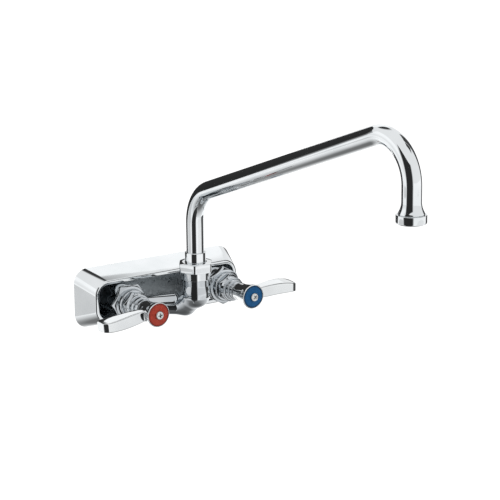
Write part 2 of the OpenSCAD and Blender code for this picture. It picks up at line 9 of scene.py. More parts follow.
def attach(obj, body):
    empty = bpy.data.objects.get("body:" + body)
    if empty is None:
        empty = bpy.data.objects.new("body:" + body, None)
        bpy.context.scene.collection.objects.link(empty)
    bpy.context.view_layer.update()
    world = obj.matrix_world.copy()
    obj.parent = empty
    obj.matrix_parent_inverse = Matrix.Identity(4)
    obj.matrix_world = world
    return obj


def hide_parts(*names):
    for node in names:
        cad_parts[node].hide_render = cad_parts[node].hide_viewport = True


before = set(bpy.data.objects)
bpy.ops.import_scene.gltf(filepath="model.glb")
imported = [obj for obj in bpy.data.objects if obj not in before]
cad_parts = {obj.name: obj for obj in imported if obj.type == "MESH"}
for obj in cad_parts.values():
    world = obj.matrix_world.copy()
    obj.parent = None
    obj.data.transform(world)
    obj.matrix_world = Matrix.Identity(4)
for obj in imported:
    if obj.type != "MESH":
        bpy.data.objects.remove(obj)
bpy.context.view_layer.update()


# ---- Wall cover ----
# A shallow dish drawn from sheet brass, buffed and chrome plated, which hides the holes in the wall.
# The body's flanges clamp it to the wall. Its open front has a narrow lip turned inwards.

def srgb(code):
    """A hex colour as the linear colour that a shader socket takes."""
    parts = [int(code[i:i + 2], 16) / 255 for i in (1, 3, 5)]
    return tuple(p / 12.92 if p <= 0.04045 else ((p + 0.055) / 1.055) ** 2.4 for p in parts) + (1,)


def add(tree, kind, links=(), **values):
    """Adds a node, sets its sockets or properties by name, and fills sockets from (socket, source)
    pairs. A source is an output, a node, which stands for its first output, or a plain value."""
    node = tree.nodes.new(kind)
    for name, value in values.items():
        socket = node.inputs.get(name.replace("_", " "))
        if socket is not None:
            socket.default_value = value
        else:
            setattr(node, name, value)
    for name, source in links:
        if isinstance(source, bpy.types.Node):
            source = source.outputs[0]
        if isinstance(source, bpy.types.NodeSocket):
            tree.links.new(source, node.inputs[name])
        else:
            node.inputs[name].default_value = source
    return node


def new_material(name):
    """An empty node material and its tree."""
    material = bpy.data.materials.new(name)
    material.use_nodes = True
    material.node_tree.nodes.clear()
    return material, material.node_tree


def ramp(tree, factor, stops):
    """A colour ramp over a factor, from (position, hex colour or grey value) stops."""
    node = add(tree, "ShaderNodeValToRGB", [("Fac", factor)])
    while len(node.color_ramp.elements) < len(stops):
        node.color_ramp.elements.new(0.5)
    for element, (position, value) in zip(node.color_ramp.elements, stops):
        element.position = position
        element.color = srgb(value) if isinstance(value, str) else (value, value, value, 1)
    return node.outputs["Color"]


def chrome_plate(name, colour, worn, gloss, wave, grain):
    """Bright nickel-chrome plate: a near mirror with faint buffing lines along the grain, a slight
    swell of the metal under the plate, and a breath of haze where hands and cloths touch it.
    Scales count waves in a metre: hazes are 38 mm wide and swells 25 mm. Buffing lines are really
    0.1 mm apart, and grain, a scale for each axis, draws them coarser so that they show."""
    material, tree = new_material(name)
    place = add(tree, "ShaderNodeTexCoord").outputs["Object"]
    haze = add(tree, "ShaderNodeTexNoise", [("Vector", place)], Scale=26.0, Detail=3.0)
    along = add(tree, "ShaderNodeMapping", [("Vector", place)], Scale=grain)
    buffed = add(tree, "ShaderNodeTexNoise", [("Vector", along)], Scale=1.0, Detail=4.0)
    swell = add(tree, "ShaderNodeTexNoise", [("Vector", place)], Scale=40.0, Detail=1.0)
    tint = ramp(tree, haze, [(0.35, worn), (0.6, colour)])
    both = add(tree, "ShaderNodeMath", [(0, haze), (1, buffed)], operation="MULTIPLY")
    shine = add(tree, "ShaderNodeMapRange", [("Value", both)], From_Min=0.12, From_Max=0.42,
                To_Min=gloss * 0.6, To_Max=gloss * 1.7)
    uneven = add(tree, "ShaderNodeBump", [("Height", swell)], Strength=wave, Distance=0.001)
    lines = add(tree, "ShaderNodeBump", [
        ("Height", buffed), ("Normal", uneven)], Strength=0.01, Distance=0.0004)
    plate = add(tree, "ShaderNodeBsdfPrincipled", [
        ("Base Color", tint), ("Roughness", shine), ("Normal", lines)],
        Metallic=1.0)
    add(tree, "ShaderNodeOutputMaterial", [("Surface", plate)])
    return material


def eased(outline, radii, closed=False, steps=5):
    """An outline of (u, v) points whose corners are rounded, each to the radius given for it or to
    the largest that its two edges have room for."""
    points, done = [Vector(p) for p in outline], []
    for i, (corner, radius) in enumerate(zip(points, radii)):
        if radius <= 0 or (not closed and i in (0, len(points) - 1)):
            done.append(tuple(corner))
            continue
        a, b = points[i - 1] - corner, points[(i + 1) % len(points)] - corner
        room = 0.48 * min(a.length, b.length)
        a, b = a.normalized(), b.normalized()
        half = a.angle(b) / 2
        cut = min(radius / math.tan(half), room)
        radius = cut * math.tan(half)
        middle = corner + (a + b).normalized() * radius / math.sin(half)
        first, last = corner + a * cut - middle, corner + b * cut - middle
        sweep = first.angle(last)
        for k in range(steps + 1):
            t = k / steps
            spoke = first * math.sin((1 - t) * sweep) + last * math.sin(t * sweep)
            done.append(tuple(middle + spoke / math.sin(sweep)))
    return done


def in_scene(name, data):
    """A new object in the scene, from its mesh, lamp or camera."""
    thing = bpy.data.objects.new(name, data)
    bpy.context.scene.collection.objects.link(thing)
    return thing


def baked(thing):
    """Gives an object the plain mesh that its modifiers make, and takes them off."""
    mesh = bpy.data.meshes.new_from_object(thing.evaluated_get(bpy.context.evaluated_depsgraph_get()))
    thing.modifiers.clear()
    thing.data = mesh
    mesh.name = thing.name


def piece(name, points, faces, material, body, slot, stands_for, crease=30, ease=0.0, cutters=()):
    """A finished piece from points in millimetres in the row frame. Doubles are merged and normals turned
    outwards; ease rounds edges sharper than crease, cutters are (points, faces) shapes cut out of it."""
    def solid(label, points, faces):
        mesh = bpy.data.meshes.new(label)
        mesh.from_pydata([[c * 0.001 for c in p] for p in points], [], faces)
        work = bmesh.new()
        work.from_mesh(mesh)
        bmesh.ops.remove_doubles(work, verts=work.verts, dist=2e-7)
        bmesh.ops.recalc_face_normals(work, faces=work.faces)
        work.to_mesh(mesh)
        work.free()
        return in_scene(label, mesh)

    thing = solid(name, points, faces)
    tools = [solid(f"{name}_cutter", *shape) for shape in cutters]
    for tool in tools:
        cut = thing.modifiers.new("cut", "BOOLEAN")
        cut.operation, cut.solver, cut.object = "DIFFERENCE", "EXACT", tool
    if ease:
        bevel = thing.modifiers.new("ease", "BEVEL")
        bevel.width, bevel.segments, bevel.limit_method = ease * 0.001, 2, "ANGLE"
        bevel.angle_limit = math.radians(crease)
    baked(thing)
    for tool in tools:
        bpy.data.objects.remove(tool)
    thing.data.materials.clear()
    thing.data.materials.append(material)
    thing.data.shade_smooth()
    thing.data.set_sharp_from_angle(angle=math.radians(crease))
    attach(thing, body)
    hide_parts(*stands_for)
    return thing


def turned(outline, steps=96, closed=True, hexagon=None, turn=0.0):
    """Points and faces of a piece turned on a lathe from an outline of (radius, height) about +Z.
    hexagon = (first, last, across flats, corner radius) mills the outline's points first to last
    to six flats: the two middle ones follow the flats, and the outer ones keep their radius."""
    points, rows = [], len(outline)
    for k in range(steps):
        a = 2 * math.pi * k / steps
        profile = list(outline)
        if hexagon:
            first, last, flats, corner = hexagon
            aside = abs((a + math.pi / 6) % (math.pi / 3) - math.pi / 6)
            reach, middle = flats / 2 / math.cos(aside), (flats / 2 - corner) / math.cos(math.pi / 6)
            if math.tan(aside) > middle / 2 / (flats / 2):
                aside = math.pi / 6 - aside
                reach = middle * math.cos(aside) + math.sqrt(corner ** 2 - (middle * math.sin(aside)) ** 2)
            (r0, z0), (r1, z1), (r2, z2), (r3, z3) = profile[first:last + 1]
            back = max(0.0, (reach - r0) / (r1 - r0)) * (z1 - z0)
            front = max(0.0, (reach - r3) / (r2 - r3)) * (z3 - z2)
            profile[first + 1], profile[last - 1] = (reach, z0 + back), (reach, z3 - front)
        a += math.radians(turn)
        points += [(r * math.cos(a), r * math.sin(a), z) for r, z in profile]
    faces = [(k * rows + i, k * rows + (i + 1) % rows,
              (k + 1) % steps * rows + (i + 1) % rows, (k + 1) % steps * rows + i)
             for k in range(steps) for i in range(rows if closed else rows - 1)]
    return points, faces


HOT, COLD = -1, 1
valve_x = 50.8  # each valve and its inlet stand this far to the side of the spout


def on_valve(side, shape):
    """A shape drawn about +Z, with +Y up, laid on a valve's axis: +Z points out from the wall."""
    points, faces = shape
    return [(side * valve_x + x, -z, y) for x, y, z in points], faces


# Outside, a deep buffed plate mirrors sharply. Inside, it is thin and unbuffed, so blurred,
# and it is painted darker grey as shade in the hollow.
cover_chrome = chrome_plate("chromed_pressing", "#E1E4E6", "#D8DCDE", 0.05, 0.05, (40, 700, 700))
thin_plate_and_hollow_shade = chrome_plate("thinly_plated_inside", "#A3AAAE", "#8F969A", 0.36, 0.12, (300, 300, 300))
# The outline gives the wall's reach past a flat core, which lies a little below the valves' axes
core_x, core_z, core_drop = 63.3, 6.4, 0.9
depth, front, at_wall, lip, plate, corner_r, hole_r = 25.7, 13.2, 21.6, 9.8, 1.5, 13.6, 11.95
flare = (at_wall - front) / depth
inside = front - plate * math.hypot(1, flare)
cover_line = eased(
    [(6, 0), (at_wall, 0), (front, depth), (lip, depth), (lip, depth - plate),
     (inside + flare * plate, depth - plate), (inside + flare * (depth - plate), plate), (6, plate)],
    [0, 0.35, 2.3, 0.7, 0.5, 0.9, 1.2, 0], steps=7)
points, quarter, outer_points = [], 22, 17
for i, (reach, out) in enumerate(cover_line):
    corner = min(reach, corner_r if i < outer_points else corner_r - plate)
    for sx, sz, start in ((1, 1, 0), (-1, 1, 90), (-1, -1, 180), (1, -1, 270)):
        for k in range(quarter + 1):
            a = math.radians(start + 90 * k / quarter)
            points.append((sx * (core_x + reach - corner) + corner * math.cos(a), -out,
                           sz * (core_z + reach - corner) - core_drop + corner * math.sin(a)))
loop = 4 * (quarter + 1)
faces = [(i * loop + k, i * loop + (k + 1) % loop, (i + 1) * loop + (k + 1) % loop, (i + 1) * loop + k)
         for i in range(len(cover_line) - 1) for k in range(loop)]
faces += [tuple(range(loop - 1, -1, -1)), tuple(range(len(points) - loop, len(points)))]
hole = turned([(0, -1), (hole_r, -1), (hole_r, 3), (0, 3)], closed=False)
cover = piece("wall_cover_shell", points, faces, cover_chrome, "fixed", "chrome", ["wall_cover"], crease=28,
              cutters=[on_valve(side, hole) for side in (HOT, COLD)])
cover.data.materials.append(thin_plate_and_hollow_shade)
# The inner walls, the floor and the back of the lip take the darker plate: painted shade in the hollow
for face in cover.data.polygons:
    x, y, z = face.center * 1000
    aside, above = max(0, abs(x) - core_x), max(0, abs(z + core_drop) - core_z)
    outwards = face.normal.x * math.copysign(aside, x) + face.normal.z * math.copysign(above, z + core_drop)
    inner_wall = plate - 0.1 < -y < depth - plate + 0.1 and outwards < 0
    inner_floor = -y < plate + 0.1 and face.normal.y < -0.5
    lip_back = -y > depth - plate - 0.2 and face.normal.y > 0.5
    if inner_wall or inner_floor or lip_back:
        face.material_index = 1


# ---- Inlet shanks, washers and lock nuts ----
# Turned brass nipples, screwed into the body, whose half-inch thread runs to their ends.
# A zinc plated washer and a brass lock nut on each pull the faucet against the wall.

def machined(name, colour, shade, gloss, grain, depth=0.05):
    """Bare turned metal: tool lines across the grain, drawn at 0.2 to 1.1 mm so that they show, and
    slightly darker, duller patches about 14 mm wide."""
    material, tree = new_material(name)
    place = add(tree, "ShaderNodeTexCoord").outputs["Object"]
    lines = add(tree, "ShaderNodeMapping", [("Vector", place)], Scale=grain)
    tooled = add(tree, "ShaderNodeTexNoise", [("Vector", lines)], Scale=1.0, Detail=5.0)
    patch = add(tree, "ShaderNodeTexNoise", [("Vector", place)], Scale=70.0, Detail=4.0)
    tint = ramp(tree, patch, [(0.3, shade), (0.65, colour)])
    dull = add(tree, "ShaderNodeMapRange", [("Value", patch)], To_Min=gloss * 1.5, To_Max=gloss * 0.7)
    bump = add(tree, "ShaderNodeBump", [("Height", tooled)], Strength=depth, Distance=0.0005)
    metal = add(tree, "ShaderNodeBsdfPrincipled", [
        ("Base Color", tint), ("Roughness", dull), ("Normal", bump)],
        Metallic=1.0)
    add(tree, "ShaderNodeOutputMaterial", [("Surface", metal)])
    return material


def both_sides(shape):
    """A shape laid on both valves' axes, as one shape."""
    points, faces = [], []
    for side in (HOT, COLD):
        more, rows = on_valve(side, shape)
        faces += [tuple(i + len(points) for i in row) for row in rows]
        points += more
    return points, faces


def new_geometry_tree(name, inputs):
    """A geometry tree with inputs given as (name, socket type, default), and one for its metal."""
    tree = bpy.data.node_groups.new(name, "GeometryNodeTree")
    tree.interface.new_socket("Geometry", in_out="INPUT", socket_type="NodeSocketGeometry")
    tree.interface.new_socket("Geometry", in_out="OUTPUT", socket_type="NodeSocketGeometry")
    for label, kind, value in inputs + [("Metal", "NodeSocketMaterial", None)]:
        tree.interface.new_socket(label, in_out="INPUT", socket_type=kind).default_value = value
    return tree, add(tree, "NodeGroupInput").outputs, add(tree, "NodeGroupOutput")


def end_tree(tree, made, given, out):
    """Ends a geometry tree with what it made, as real geometry in its metal."""
    real = add(tree, "GeometryNodeRealizeInstances", [("Geometry", made)])
    coated = add(tree, "GeometryNodeSetMaterial", [("Geometry", real), ("Material", given["Metal"])])
    tree.links.new(coated.outputs[0], out.inputs[0])


def grown(thing, tree, **sizes):
    """Runs a geometry tree on an object with its inputs set, and bakes the result into a plain mesh."""
    modifier = thing.modifiers.new("grow", "NODES")
    modifier.node_group = tree
    for item in tree.interface.items_tree:
        if item.in_out == "INPUT" and item.name.replace(" ", "_") in sizes:
            modifier[item.identifier] = sizes[item.name.replace(" ", "_")]
    baked(thing)


# Bare yellow brass with fine tool marks, and the bluish, cloudy grey of zinc plate
brass = machined("turned_brass", "#C8A55C", "#A9853F", 0.24, (300, 5000, 300), 0.12)
zinc = machined("zinc_plated_steel", "#C3C8CC", "#A3A9AD", 0.32, (900, 900, 900), 0.06)
shank_line = eased(
    [(6.5, -32.8), (9.1, -32.8), (9.9, -32.0), (9.9, -21.2), (10.1, -21.1), (10.1, 10.1), (9.3, 10.9),
     (6.5, 10.9)],
    [0.2, 0.1, 0.1, 0, 0, 0.1, 0.1, 0.2], closed=True, steps=2)
piece("shank_cores", *both_sides(turned(shank_line, 64)), brass, "fixed", "brass", ["inlet_shanks"],
      crease=35)

# The thread is a ridge wound on the shank: the half-inch thread's pitch, and its ridge's half height
thread_pitch, crest = 1.81, 0.53
tree, given, out = new_geometry_tree("screw_thread", [
    ("Turns", "NodeSocketFloat", 24.0), ("Length", "NodeSocketFloat", 0.04),
    ("Root Radius", "NodeSocketFloat", 0.01), ("Crest", "NodeSocketFloat", 0.0005)])
spiral = add(tree, "GeometryNodeCurveSpiral", [
    ("Rotations", given["Turns"]), ("Height", given["Length"]),
    ("Start Radius", given["Root Radius"]), ("End Radius", given["Root Radius"])],
    Resolution=40)
ridge = add(tree, "GeometryNodeCurvePrimitiveCircle", [("Radius", given["Crest"])], Resolution=4)
swept = add(tree, "GeometryNodeCurveToMesh", [("Curve", spiral), ("Profile Curve", ridge)], Fill_Caps=True)
end_tree(tree, swept, given, out)
for side, label in ((HOT, "hot"), (COLD, "cold")):
    for part, start, length, root in (("shank", -10.0, 30.6, 10.08), ("tail", 22.0, 10.2, 9.88)):
        thing = in_scene(f"{label}_{part}_thread", bpy.data.meshes.new("blank"))
        grown(thing, tree, Turns=length / thread_pitch, Length=length * 0.001, Root_Radius=root * 0.001,
              Crest=crest * 0.001, Metal=brass)
        thing.data.transform(Matrix.Translation((side * valve_x * 0.001, start * 0.001, 0))
                             @ Matrix.Rotation(-math.pi / 2, 4, "X"))
        thing.data.set_sharp_from_angle(angle=math.radians(40))
        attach(thing, "fixed")

washer_line = eased([(11.05, -14), (17.65, -14), (17.65, -12), (11.05, -12)], [0.2] * 4, closed=True, steps=3)
piece("lock_washers_plated", *both_sides(turned(washer_line, 72)), zinc, "fixed", "stainless",
      ["lock_washers"])
nut_line = [(10.8, -21.05), (14.45, -21.05), (17.0, -19.85), (17.0, -15.25), (14.45, -14.05), (10.8, -14.05)]
piece("lock_nuts_brass", *both_sides(turned(nut_line, 144, hexagon=(1, 4, 29.3, 1.2))), brass, "fixed",
      "brass", ["lock_nuts"], ease=0.2)


# ---- Faucet body ----
# One brass casting, chromed: two barrels with clamping flanges, two tapering arms which meet behind
# the upright, and an elbow that rises to the neck. Every branch runs into the next with a soft fillet.

def surface_of(field, low, high, cell):
    """Points, quads and normals of the surface where a distance function is zero. Every cell that the
    surface crosses gets one point, which is then moved along the function's slope onto the surface."""
    axes = [np.arange(a, b + cell, cell) for a, b in zip(low, high)]
    inside = field(*np.meshgrid(*axes, indexing="ij")) < 0
    size = np.array(inside.shape)
    stride = np.array([size[1] * size[2], size[2], 1])
    crossings = []
    for axis in range(3):
        change = np.diff(inside.astype(np.int8), axis=axis)
        spots = np.argwhere(change)
        a, b = [k for k in range(3) if k != axis]
        quads = (spots @ stride)[:, None] - (stride[a] + stride[b], stride[b], 0, stride[a])
        outwards = (change[tuple(spots.T)] < 0) ^ (axis == 1)
        crossings.append(np.where(outwards[:, None], quads, quads[:, ::-1]))
    quads = np.concatenate(crossings)
    used, flat = np.unique(quads, return_inverse=True)
    place = np.stack(np.unravel_index(used, size), axis=1)
    points = np.array(low) + (place + 0.5) * cell

    def slope(p, step=0.02):
        rows = []
        for k in range(3):
            ahead, behind = p.copy(), p.copy()
            ahead[:, k] += step
            behind[:, k] -= step
            rows.append((field(*ahead.T) - field(*behind.T)) / (2 * step))
        return np.stack(rows, axis=1)

    for _ in range(5):
        rise = slope(points)
        away = field(*points.T) / np.maximum((rise ** 2).sum(axis=1), 0.05)
        points -= np.clip(away, -cell, cell)[:, None] * rise
    normals = slope(points)
    normals /= np.linalg.norm(normals, axis=1)[:, None]
    return points, flat.reshape(-1, 4), normals


def merged(a, b, fillet):
    """Two distances joined with a fillet between them."""
    share = np.clip(0.5 + 0.5 * (b - a) / fillet, 0, 1)
    return b + (a - b) * share - fillet * share * (1 - share)


def eased_cut(a, b, edge):
    """Where both distances are negative, with the meeting edge eased."""
    return -merged(-a, -b, edge)


def drum(radial, height, radius, start, end, edge):
    """The distance to a round drum with eased rims."""
    across = radial - radius + edge
    along = np.abs(height - (start + end) / 2) - (end - start) / 2 + edge
    outside = np.hypot(np.maximum(across, 0), np.maximum(along, 0))
    return np.minimum(np.maximum(across, along), 0) + outside - edge


def branch(x, y, z, start, end, start_r, end_r):
    """The distance to a round bar between two points, which swells from one radius to the other."""
    run = [b - a for a, b in zip(start, end)]
    share = sum((c - a) * r for c, a, r in zip((x, y, z), start, run)) / sum(r * r for r in run)
    share = np.clip(share, 0, 1)
    away = np.sqrt(sum((c - a - share * r) ** 2 for c, a, r in zip((x, y, z), start, run)))
    return away - start_r - share * (end_r - start_r)


def carved(name, surface, place, material, body, stands_for):
    """A piece from a surface in millimetres, placed by a matrix and shaded by its own normals."""
    points, faces, normals = surface
    mesh = bpy.data.meshes.new(name)
    mesh.from_pydata((points * 0.001).tolist(), [], faces.tolist())
    mesh.transform(place)
    mesh.shade_smooth()
    turn = np.array(place.to_3x3())
    mesh.normals_split_custom_set_from_vertices((normals @ turn.T).tolist())
    mesh.materials.append(material)
    thing = in_scene(name, mesh)
    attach(thing, body)
    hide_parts(*stands_for)


riser_out = 73.4  # the spout's upright stands this far out from the wall


def casting(x, y, z):
    """The distance to the body. The arms run from root, beside each barrel, to meet, and the elbow
    from there to bend, under the neck."""
    out, aside = -y, np.abs(x) - valve_x
    valve = np.hypot(aside, z)
    root, meet, bend = (-valve_x, -20.0, -7.8), (0.0, -54.9, -6.0), (0.0, -riser_out, 7.0)
    riser = np.hypot(x, y - bend[1])
    barrel, flange = drum(valve, out, 14.8, 1.55, 38.5, 0.8), drum(valve, out, 20, 1.55, 4.15, 0.7)
    metal = merged(barrel, flange, 5.0)
    arm = branch(-np.abs(x), y, z, root, meet, 6.7, 10.25)
    metal = merged(metal, arm, 3.6)
    elbow = branch(x, y, z, meet, bend, 10.7, 11.6)
    neck = merged(drum(riser, z, 11.45, 5, 21.5, 0.4), np.sqrt(riser ** 2 + (z - 7) ** 2) - 12.1, 3.0)
    neck = np.minimum(neck, drum(riser, z, 11.1, 12, 25.1, 0.3))
    metal = merged(metal, merged(elbow, neck, 3.0), 3.0)
    metal = eased_cut(metal, -drum(valve, out, 18.75, 38.5, 58, 0), 0.8)
    bores = drum(valve, out, 12.62, 15, 50, 0)
    for bore in (drum(valve, out, 6.5, -9, 20, 0), drum(valve, out, 10.77, -9, 12, 0),
                 branch(-np.abs(x), y, z, root, meet, 4.5, 4.5), branch(x, y, z, meet, bend, 4.5, 4.5),
                 drum(riser, z, 7.95, 5, 40, 0)):
        bores = np.minimum(bores, bore)
    return eased_cut(metal, -bores, 0.4)


# A casting is buffed by hand in all directions, so its plate is more uneven,
# and its greyer tint is painted shade.
shaded_cast_chrome = chrome_plate("chromed_casting", "#C8CCCF", "#BABFC3", 0.055, 0.07, (500, 500, 500))
body_surface = surface_of(casting, low=(-72, -87, -21.5), high=(72, 0, 27), cell=0.65)
carved("body_casting", body_surface, Matrix.Identity(4), shaded_cast_chrome, "fixed", ["faucet_body"])


# ---- Bonnets and gland nuts ----
# Brass turned from hexagon bar and chromed. Each bonnet closes its barrel over an O-ring, and the
# gland nut with its stepped nose holds the cartridge down and carries the spindle.

# Turned pieces keep faint rings from the lathe. The hexagons are plated as milled, so they are duller,
# and their greyer tint is painted shade.
turned_chrome = chrome_plate("chromed_turning", "#DFE2E4", "#D4D8DA", 0.045, 0.04, (300, 3000, 300))
unbuffed_shaded_nut_chrome = chrome_plate("chromed_nuts_unbuffed", "#BFC4C8", "#B0B5B9", 0.07, 0.05, (300, 3000, 300))
bonnet_line = [(8.82, 27.55), (12.5, 27.55), (12.5, 38.56), (15.68, 38.56), (18.43, 39.35), (18.43, 40.95),
               (15.68, 44.55), (13.5, 44.55), (13.5, 49.15), (10, 49.15), (10, 53.65), (8.82, 53.65)]
bonnet_line = bonnet_line[:7] + eased(bonnet_line[6:], [0, 0.35, 0.9, 0.2, 0.3, 0.2])[1:]
gland_line = [(10.12, 49.2), (11.3, 49.2), (13.38, 50.2), (13.38, 52.6), (11.3, 54.2)] + eased(
    [(11.3, 54.2), (11.2, 54.25), (11.2, 58.67), (9.6, 58.67), (9.6, 63.13), (8.3, 63.13), (8.3, 67.6),
     (7.12, 67.6), (7.12, 53.7), (10.12, 53.7), (10.12, 49.2)],
    [0, 0, 0.9, 0.35, 0.8, 0.35, 0.8, 0.1, 0, 0, 0])[1:-1]
for side, label, bonnet_turn, gland_turn in ((HOT, "hot", 30, 18), (COLD, "cold", 0, 0)):
    bonnet = turned(bonnet_line, 180, hexagon=(3, 6, 31.75, 1.5), turn=bonnet_turn)
    piece(f"{label}_bonnet_hexagon", *on_valve(side, bonnet), unbuffed_shaded_nut_chrome, "fixed", "chrome",
          [f"{label}_bonnet"], crease=22, ease=0.16)
    gland = turned(gland_line, 180, hexagon=(1, 4, 23, 1.0), turn=gland_turn)
    piece(f"{label}_gland_hexagon", *on_valve(side, gland), unbuffed_shaded_nut_chrome, "fixed", "chrome",
          [f"{label}_gland_nut"], crease=22, ease=0.12)


# ---- Levers ----
# Die-cast zinc under chrome, the same piece on both sides, turned half round. A waisted hub carries
# a deep blade with a flat front and a square, bevelled end. A screw in the spindle holds each lever.

def smooth_row(at, stations, values):
    """A smooth curve through the stations' values, level with the chord at each station."""
    stations, values = np.array(stations), np.array(values)
    slopes = np.gradient(values, stations)
    k = np.clip(np.searchsorted(stations, at) - 1, 0, len(stations) - 2)
    gap = stations[k + 1] - stations[k]
    t = np.clip((at - stations[k]) / gap, 0, 1)
    return ((2 * t ** 3 - 3 * t ** 2 + 1) * values[k] + (t ** 3 - 2 * t ** 2 + t) * gap * slopes[k]
            + (3 * t ** 2 - 2 * t ** 3) * values[k + 1] + (t ** 3 - t ** 2) * gap * slopes[k + 1])


def handle(x, y, z):
    """The distance to the lever, its tip along +X and z the distance from the wall: its blade's two
    sides close in towards the flat front, and a bevel cuts the front corner of its square end."""
    base, tip, bevel_z = 75.1, 52.6, 84.2
    stations = (0, 7.7, 19.8, 29.7, 38.0, 46.2, 51.7, 55.4)
    crown, keel, front, back, crown_drop, keel_drop = (smooth_row(x, stations, row) for row in (
        (4.6, 5.5, 7.7, 8.8, 8.8, 7.4, 5.6, 3.9), (5.1, 5.2, 5.6, 5.4, 5.2, 4.9, 4.6, 4.1),
        (9.2, 9.4, 9.9, 10.6, 11.2, 11.6, 11.6, 11.6), (1.2, 0.8, 0.3, -0.3, -1.2, -2.1, -2.4, -2.4),
        (0.6, 0.8, 1.6, 2.2, 2.4, 1.8, 1.2, 0.8), (0.4, 0.7, 1.3, 1.8, 1.9, 1.6, 1.2, 0.8)))
    front, back = front + base, back + base

    def facet(aside, height, drop):
        """Distance outside a side that falls by drop from its height at the back to the front."""
        depth = front - back - 2
        return ((aside - height + drop) * depth + (z - front) * drop) / np.hypot(depth, drop)

    blade = eased_cut(facet(y, crown, crown_drop), facet(-y, keel, keel_drop), 0.1)
    bevel = (x - tip) * 0.5 + (z - bevel_z) * 0.866
    for away, edge in ((np.maximum(y - crown, -y - keel), 0.6), (z - front, 1.5), (back - z, 1.6),
                       (x - tip, 0.9), (bevel, 0.5), (-x, 0.1)):
        blade = eased_cut(blade, away, edge)
    radial = np.hypot(x, y)
    waist = smooth_row(z, (68, 69.5, 76.4, 83.2, 88.6, 90.4, 91.6), (8.1, 8.3, 8.7, 9.75, 11.0, 11.2, 11.2))
    hub_ends = np.abs(z - 79.8) - 11.3
    metal = merged(eased_cut(radial - waist, hub_ends, 0.7), blade, 2.2)
    metal = eased_cut(metal, hub_ends, 0.35)
    bores = drum(radial, z, 10.42, 89.1, 99, 0)
    for bore in (drum(radial, z, 4.12, 60, 84.2, 0), drum(radial, z, 2.12, 60, 99, 0)):
        bores = np.minimum(bores, bore)
    return eased_cut(metal, -bores, 0.2)


# Buffed along the blade, where hands keep it bright
lever_chrome = chrome_plate("chromed_lever", "#E1E4E5", "#D6D9DB", 0.05, 0.06, (60, 600, 600))
lever_surface = surface_of(handle, low=(-13, -13, 67), high=(57.5, 13, 92.5), cell=0.36)
for side, label, twist in ((HOT, "hot", 185), (COLD, "cold", -1)):
    stand = (Matrix.Translation((side * valve_x * 0.001, 0, 0)) @ Matrix.Rotation(math.pi / 2, 4, "X")
             @ Matrix.Rotation(math.radians(twist), 4, "Z"))
    carved(f"{label}_lever_casting", lever_surface, stand, lever_chrome, f"{label}_handle",
           [f"{label}_lever"])


# ---- Index discs and screws ----
# Moulded discs, red for hot and blue for cold, pressed into the hubs. Their faces are slightly domed,
# with painted shade in a darker band at the rim. A cross-slot screw of stainless steel goes through each.

def moulded(name, colour, shade, rim, centre):
    """Moulded plastic with 3 mm flow mottling and a fine grain, drawn at 1 mm so that it shows. A band
    near the disc's rim is painted darker, as shade where the domed edge meets the hub."""
    material, tree = new_material(name)
    place = add(tree, "ShaderNodeTexCoord").outputs["Object"]
    away = add(tree, "ShaderNodeVectorMath", [("Vector", place), (1, centre)], operation="SUBTRACT")
    flat = add(tree, "ShaderNodeVectorMath", [("Vector", away), (1, (1, 0, 1))], operation="MULTIPLY")
    radius = add(tree, "ShaderNodeVectorMath", [("Vector", flat)], operation="LENGTH")
    band = add(tree, "ShaderNodeMapRange", [("Value", radius.outputs["Value"])], From_Max=0.0103)
    # The rim colour is painted shade, strongest at the disc's edge
    edge = ramp(tree, band, [(0.82, 0.0), (0.9, 0.75), (0.98, 1.0)])
    mottle = add(tree, "ShaderNodeTexNoise", [("Vector", place)], Scale=300.0, Detail=3.0)
    tint = ramp(tree, mottle, [(0.3, shade), (0.7, colour)])
    mixed = add(tree, "ShaderNodeMix", [("Factor", edge), (6, tint), (7, srgb(rim))], data_type="RGBA")
    grain = add(tree, "ShaderNodeTexNoise", [("Vector", place)], Scale=900.0, Detail=2.0)
    bump = add(tree, "ShaderNodeBump", [("Height", grain)], Strength=0.04, Distance=0.0002)
    plastic = add(tree, "ShaderNodeBsdfPrincipled", [
        ("Base Color", mixed.outputs[2]), ("Normal", bump)],
        Roughness=0.45, IOR=1.49, Specular_IOR_Level=0.15)
    add(tree, "ShaderNodeOutputMaterial", [("Surface", plastic)])
    return material


# Bright stainless steel, barely marked by the tool
steel = machined("stainless_steel", "#CDCFCE", "#B4B7B6", 0.22, (900, 900, 900), 0.03)
disc_line = eased([(2.15, 89.15), (10.28, 89.15), (10.28, 90.9), (4.3, 91.66), (2.15, 91.7)],
                  [0.1, 0.2, 0.45, 1.5, 0.1], closed=True)
screw_line = eased(
    [(0, 75.1), (1.1, 75.1), (1.55, 75.7), (1.55, 84.15), (2, 84.15), (2, 91.74), (3.8, 91.74), (3.8, 93.6),
     (0, 94.0)],
    [0] * 6 + [0.15, 0.8, 0], steps=6)
slot_faces = [(0, 1, 2, 3), (4, 5, 6, 7), (0, 1, 5, 4), (1, 2, 6, 5), (2, 3, 7, 6), (3, 0, 4, 7)]
